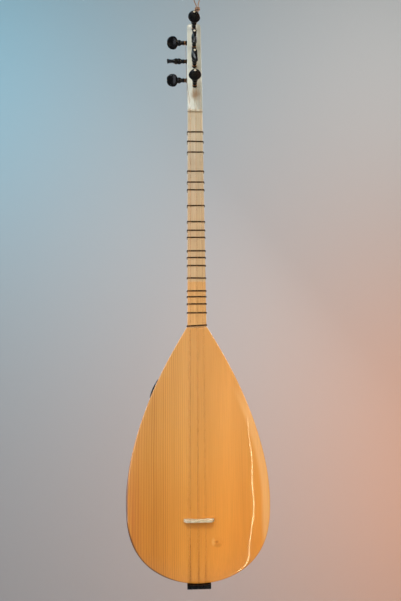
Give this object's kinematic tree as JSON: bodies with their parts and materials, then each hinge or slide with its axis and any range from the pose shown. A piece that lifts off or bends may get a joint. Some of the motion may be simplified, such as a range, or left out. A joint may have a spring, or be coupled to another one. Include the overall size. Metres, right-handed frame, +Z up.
{
  "type": "short-neck baglama lute",
  "caption": "Long-necked lute with a pear-shaped bowl, tied frets, a leaning head with turning pegs and a cord loop to hang it by.",
  "frame": {"origin": "inside top of the hanging cord's loop, where a nail or hook carries it", "axes": "+Z up along the neck towards the head, -Y the side that the soundboard and strings face, +X to the right of someone who looks at the front"},
  "size_m": [0.2444, 0.182, 1.1198],
  "materials": {
    "lacquered_spruce": "glossy lacquer over straight-grained spruce",
    "bowl_wood": "glossy lacquer",
    "block_wood": "bare",
    "neck_wood": "satin lacquer",
    "head_wood": "satin lacquer",
    "bone": "polished bone or ivory-coloured plastic",
    "black_lacquer": "gloss black",
    "dark_thread": "nylon monofilament",
    "string_steel": "drawn wire",
    "brown_cord": "twisted cord"
  },
  "bodies": {
    "lute": {"soundboard": "lacquered_spruce", "stave_01": "bowl_wood", "stave_02": "bowl_wood", "stave_03": "bowl_wood", "stave_04": "bowl_wood", "stave_05": "bowl_wood", "stave_06": "bowl_wood", "stave_07": "bowl_wood", "stave_08": "bowl_wood", "stave_09": "bowl_wood", "stave_10": "bowl_wood", "stave_11": "bowl_wood", "stave_12": "bowl_wood", "stave_13": "bowl_wood", "neck_block": "block_wood", "tail_block": "block_wood", "neck": "neck_wood", "head": "head_wood", "nut": "bone", "string_holder": "black_lacquer", "sound_hole_ring": "black_lacquer", "string_1": "string_steel", "string_2": "string_steel", "string_3": "string_steel", "string_4": "string_steel", "string_5": "string_steel", "string_6": "string_steel", "string_7": "string_steel", "hanging_cord": "brown_cord", "cord_knot": "brown_cord"},
    "bridge": {"bridge": "bone"},
    "fret_01": {"fret_01": "dark_thread"},
    "fret_02": {"fret_02": "dark_thread"},
    "fret_03": {"fret_03": "dark_thread"},
    "fret_04": {"fret_04": "dark_thread"},
    "fret_05": {"fret_05": "dark_thread"},
    "fret_06": {"fret_06": "dark_thread"},
    "fret_07": {"fret_07": "dark_thread"},
    "fret_08": {"fret_08": "dark_thread"},
    "fret_09": {"fret_09": "dark_thread"},
    "fret_10": {"fret_10": "dark_thread"},
    "fret_11": {"fret_11": "dark_thread"},
    "fret_12": {"fret_12": "dark_thread"},
    "fret_13": {"fret_13": "dark_thread"},
    "fret_14": {"fret_14": "dark_thread"},
    "fret_15": {"fret_15": "dark_thread"},
    "fret_16": {"fret_16": "dark_thread"},
    "fret_17": {"fret_17": "dark_thread"},
    "fret_18": {"fret_18": "dark_thread"},
    "fret_19": {"fret_19": "dark_thread"},
    "front_peg_1": {"front_peg_1": "black_lacquer"},
    "front_peg_2": {"front_peg_2": "black_lacquer"},
    "front_peg_3": {"front_peg_3": "black_lacquer"},
    "front_peg_4": {"front_peg_4": "black_lacquer"},
    "side_peg_1": {"side_peg_1": "black_lacquer"},
    "side_peg_2": {"side_peg_2": "black_lacquer"},
    "side_peg_3": {"side_peg_3": "black_lacquer"}
  },
  "joints": [
    {"name": "bridge_slide", "type": "slide", "parent": "lute", "child": "bridge", "axis": [0, 0, 1], "range_m": [-0.0015, 0.0015]},
    {"name": "fret_01_slide", "type": "slide", "parent": "lute", "child": "fret_01", "axis": [0, 0, 1], "range_m": [-0.003, 0.003]},
    {"name": "fret_02_slide", "type": "slide", "parent": "lute", "child": "fret_02", "axis": [0, 0, 1], "range_m": [-0.003, 0.003]},
    {"name": "fret_03_slide", "type": "slide", "parent": "lute", "child": "fret_03", "axis": [0, 0, 1], "range_m": [-0.003, 0.003]},
    {"name": "fret_04_slide", "type": "slide", "parent": "lute", "child": "fret_04", "axis": [0, 0, 1], "range_m": [-0.003, 0.003]},
    {"name": "fret_05_slide", "type": "slide", "parent": "lute", "child": "fret_05", "axis": [0, 0, 1], "range_m": [-0.003, 0.003]},
    {"name": "fret_06_slide", "type": "slide", "parent": "lute", "child": "fret_06", "axis": [0, 0, 1], "range_m": [-0.003, 0.003]},
    {"name": "fret_07_slide", "type": "slide", "parent": "lute", "child": "fret_07", "axis": [0, 0, 1], "range_m": [-0.003, 0.003]},
    {"name": "fret_08_slide", "type": "slide", "parent": "lute", "child": "fret_08", "axis": [0, 0, 1], "range_m": [-0.003, 0.003]},
    {"name": "fret_09_slide", "type": "slide", "parent": "lute", "child": "fret_09", "axis": [0, 0, 1], "range_m": [-0.003, 0.003]},
    {"name": "fret_10_slide", "type": "slide", "parent": "lute", "child": "fret_10", "axis": [0, 0, 1], "range_m": [-0.003, 0.003]},
    {"name": "fret_11_slide", "type": "slide", "parent": "lute", "child": "fret_11", "axis": [0, 0, 1], "range_m": [-0.003, 0.003]},
    {"name": "fret_12_slide", "type": "slide", "parent": "lute", "child": "fret_12", "axis": [0, 0, 1], "range_m": [-0.003, 0.003]},
    {"name": "fret_13_slide", "type": "slide", "parent": "lute", "child": "fret_13", "axis": [0, 0, 1], "range_m": [-0.003, 0.003]},
    {"name": "fret_14_slide", "type": "slide", "parent": "lute", "child": "fret_14", "axis": [0, 0, 1], "range_m": [-0.003, 0.003]},
    {"name": "fret_15_slide", "type": "slide", "parent": "lute", "child": "fret_15", "axis": [0, 0, 1], "range_m": [-0.003, 0.003]},
    {"name": "fret_16_slide", "type": "slide", "parent": "lute", "child": "fret_16", "axis": [0, 0, 1], "range_m": [-0.003, 0.003]},
    {"name": "fret_17_slide", "type": "slide", "parent": "lute", "child": "fret_17", "axis": [0, 0, 1], "range_m": [-0.003, 0.003]},
    {"name": "fret_18_slide", "type": "slide", "parent": "lute", "child": "fret_18", "axis": [0, 0, 1], "range_m": [-0.003, 0.003]},
    {"name": "fret_19_slide", "type": "slide", "parent": "lute", "child": "fret_19", "axis": [0, 0, 1], "range_m": [0, 0.003]},
    {"name": "front_peg_1_turn", "type": "hinge", "parent": "lute", "child": "front_peg_1", "pos_m": [-0.0065, -0.0347, -0.22164], "axis": [0, -0.9877, 0.1564], "continuous": true},
    {"name": "front_peg_2_turn", "type": "hinge", "parent": "lute", "child": "front_peg_2", "pos_m": [-0.0065, -0.0275, -0.1762], "axis": [0, -0.9877, 0.1564], "continuous": true},
    {"name": "front_peg_3_turn", "type": "hinge", "parent": "lute", "child": "front_peg_3", "pos_m": [-0.0065, -0.02031, -0.13077], "axis": [0, -0.9877, 0.1564], "continuous": true},
    {"name": "front_peg_4_turn", "type": "hinge", "parent": "lute", "child": "front_peg_4", "pos_m": [-0.0065, -0.01311, -0.08534], "axis": [0, -0.9877, 0.1564], "continuous": true},
    {"name": "side_peg_1_turn", "type": "hinge", "parent": "lute", "child": "side_peg_1", "pos_m": [-0.02051, -0.02024, -0.20064], "axis": [-1, 0, 0], "continuous": true},
    {"name": "side_peg_2_turn", "type": "hinge", "parent": "lute", "child": "side_peg_2", "pos_m": [-0.02037, -0.01304, -0.15521], "axis": [-1, 0, 0], "continuous": true},
    {"name": "side_peg_3_turn", "type": "hinge", "parent": "lute", "child": "side_peg_3", "pos_m": [-0.02023, -0.00584, -0.10977], "axis": [-1, 0, 0], "continuous": true}
  ]
}
